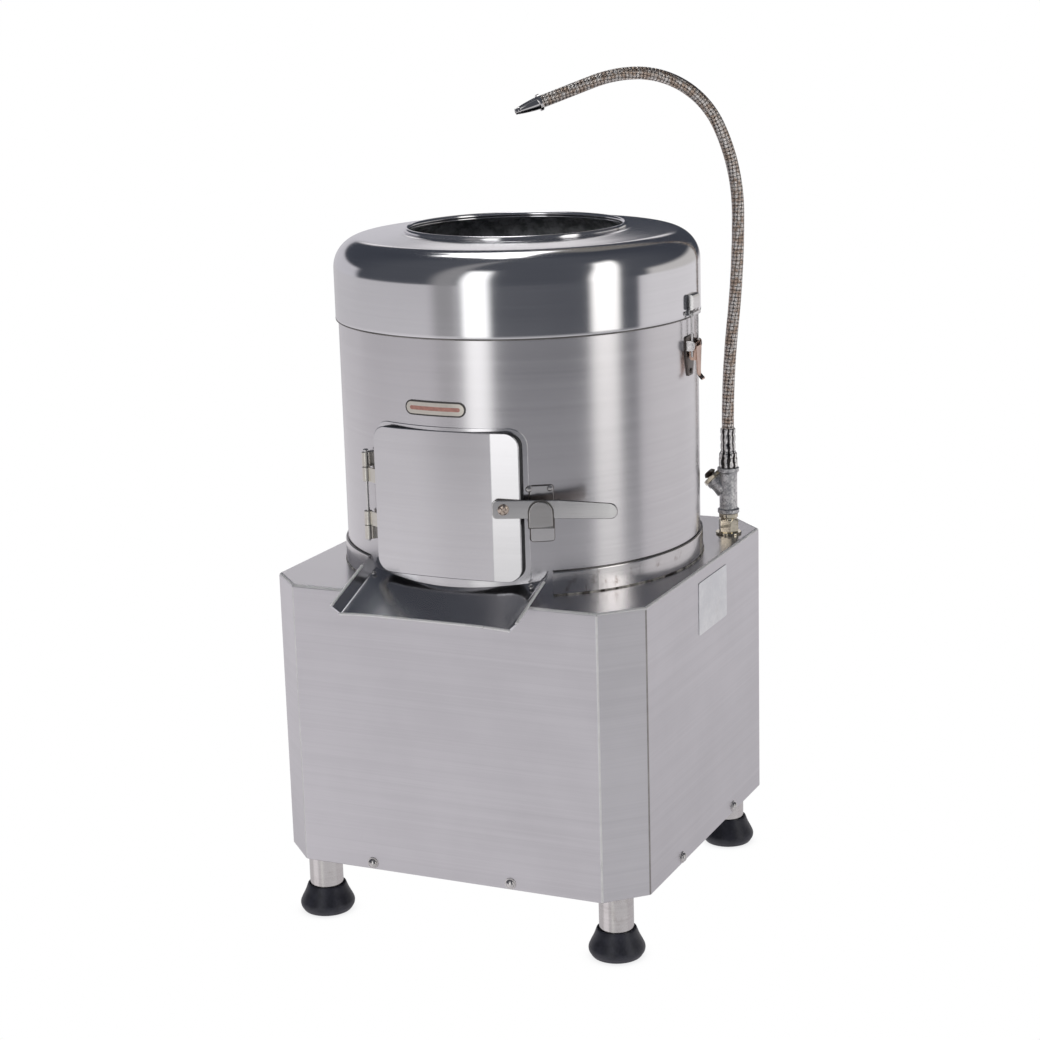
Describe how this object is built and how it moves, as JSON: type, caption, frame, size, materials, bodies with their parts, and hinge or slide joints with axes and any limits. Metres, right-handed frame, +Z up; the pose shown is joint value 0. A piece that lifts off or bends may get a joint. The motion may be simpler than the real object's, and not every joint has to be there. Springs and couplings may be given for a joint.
{
  "type": "electric potato peeler",
  "caption": "Abrasive drum peeler on a four-legged cabinet, with clamped lid, hinged outlet door, chute and gooseneck water spray.",
  "frame": {"origin": "on the floor, in the middle of the four feet and under the drum's axis", "axes": "+Z up along the drum's axis, -Y towards the front with the outlet door, +X to the machine's right as seen from the front"},
  "size_m": [0.4815, 0.5249, 0.9334],
  "materials": {
    "brushed_sheet": "brushed",
    "polished_sheet": "satin polished",
    "bright_hardware": "satin",
    "dark_steel": "satin",
    "grey_iron": "painted, satin",
    "black_rubber": "matt",
    "brass_fitting": "satin",
    "cast_disc": "cast",
    "grit": "rough grit",
    "braided_hose": "braided",
    "black_plastic": "fine grain",
    "green_plastic": "gloss",
    "red_plastic": "gloss",
    "white_label": "printed film",
    "badge_plate": "satin",
    "cream_plastic": "moulded"
  },
  "bodies": {
    "cabinet": {"base_housing": "brushed_sheet", "back_panel": "brushed_sheet", "deck_plate": "brushed_sheet", "access_panel": "brushed_sheet", "drum_shell": "brushed_sheet", "drum_band": "brushed_sheet", "door_frame": "brushed_sheet", "chute": "brushed_sheet", "drum_floor": "brushed_sheet", "leg_tubes": "bright_hardware", "edge_bolts": "bright_hardware", "access_screws": "bright_hardware", "hinge_knuckles": "bright_hardware", "hinge_pin": "bright_hardware", "latch_keeper": "bright_hardware", "toggle_bases": "bright_hardware", "valve_body": "bright_hardware", "drain_pipe": "bright_hardware", "drive_bolts": "bright_hardware", "shaft_bearings": "bright_hardware", "base_frame": "dark_steel", "motor_tray": "dark_steel", "motor_body": "grey_iron", "terminal_box": "grey_iron", "bearing_housing": "grey_iron", "rubber_feet": "black_rubber", "drive_belt": "black_rubber", "shaft_seal": "black_rubber", "water_nipple": "brass_fitting", "valve_gland": "brass_fitting", "abrasive_liner": "grit", "switch_box": "black_plastic", "cable_gland": "black_plastic", "rating_plate": "white_label", "name_badge": "badge_plate", "run_capacitor": "cream_plastic"},
    "disc": {"main_shaft": "bright_hardware", "disc_pulley": "dark_steel", "peeling_disc": "cast_disc", "abrasive_layer": "grit", "disc_nut": "bright_hardware"},
    "rotor": {"motor_shaft": "bright_hardware", "motor_pulley": "dark_steel"},
    "door": {"door_panel": "brushed_sheet", "door_seal": "black_rubber", "latch_screw": "bright_hardware"},
    "latch": {"latch_bar": "bright_hardware"},
    "lid": {"lid_shell": "polished_sheet", "lid_seal": "black_rubber", "toggle_catches": "bright_hardware"},
    "right_lever": {"right_toggle_lever": "bright_hardware"},
    "right_loop": {"right_toggle_loop": "bright_hardware"},
    "left_lever": {"left_toggle_lever": "bright_hardware"},
    "left_loop": {"left_toggle_loop": "bright_hardware"},
    "spray": {"hose_ferrule": "bright_hardware", "spray_hose": "braided_hose", "spray_nozzle": "bright_hardware"},
    "knob": {"valve_knob": "black_rubber"},
    "start": {"start_button": "green_plastic"},
    "stop": {"stop_button": "red_plastic"}
  },
  "joints": [
    {"name": "disc_spin", "type": "hinge", "parent": "cabinet", "child": "disc", "pos_m": [0, 0, 0.41], "axis": [0, 0, 1], "continuous": true},
    {"name": "motor_spin", "type": "hinge", "parent": "cabinet", "child": "rotor", "pos_m": [0, 0.13, 0.26], "axis": [0, 0, 1], "continuous": true},
    {"name": "door_hinge", "type": "hinge", "parent": "cabinet", "child": "door", "pos_m": [-0.1035, -0.17927, 0.493], "axis": [0, 0, -1], "range_deg": [0, 130]},
    {"name": "latch_swing", "type": "hinge", "parent": "door", "child": "latch", "pos_m": [0.0685, -0.19904, 0.493], "axis": [0.3254, -0.9456, 0], "range_deg": [0, 80]},
    {"name": "lid_lift", "type": "slide", "parent": "cabinet", "child": "lid", "axis": [0, 0, 1], "range_m": [0, 0.1]},
    {"name": "right_lever_swing", "type": "hinge", "parent": "cabinet", "child": "right_lever", "pos_m": [0.20687, 0.00722, 0.64], "axis": [0.0349, -0.9994, 0], "range_deg": [0, 140]},
    {"name": "right_loop_swing", "type": "hinge", "parent": "right_lever", "child": "right_loop", "pos_m": [0.20687, 0.00722, 0.628], "axis": [0.0349, -0.9994, 0], "range_deg": [-140, 0]},
    {"name": "left_lever_swing", "type": "hinge", "parent": "cabinet", "child": "left_lever", "pos_m": [-0.20687, -0.00722, 0.64], "axis": [-0.0349, 0.9994, 0], "range_deg": [0, 140]},
    {"name": "left_loop_swing", "type": "hinge", "parent": "left_lever", "child": "left_loop", "pos_m": [-0.20687, -0.00722, 0.628], "axis": [-0.0349, 0.9994, 0], "range_deg": [-140, 0]},
    {"name": "hose_swivel", "type": "hinge", "parent": "cabinet", "child": "spray", "pos_m": [0.195, 0.145, 0.48], "axis": [0, 0, 1], "range_deg": [-60, 120]},
    {"name": "valve_turn", "type": "hinge", "parent": "cabinet", "child": "knob", "pos_m": [0.17803, 0.145, 0.45897], "axis": [-0.7071, 0, 0.7071], "range_deg": [0, 270]},
    {"name": "start_press", "type": "slide", "parent": "cabinet", "child": "start", "axis": [1, 0, 0], "range_m": [0, 0.004], "stiffness_N_per_m": 600},
    {"name": "stop_press", "type": "slide", "parent": "cabinet", "child": "stop", "axis": [1, 0, 0], "range_m": [0, 0.004], "stiffness_N_per_m": 600}
  ],
  "couplings": [
    {"joint": "motor_spin", "follows": "disc_spin", "ratio": 4},
    {"joint": "right_loop_swing", "follows": "right_lever_swing", "ratio": -1},
    {"joint": "left_loop_swing", "follows": "left_lever_swing", "ratio": -1}
  ]
}
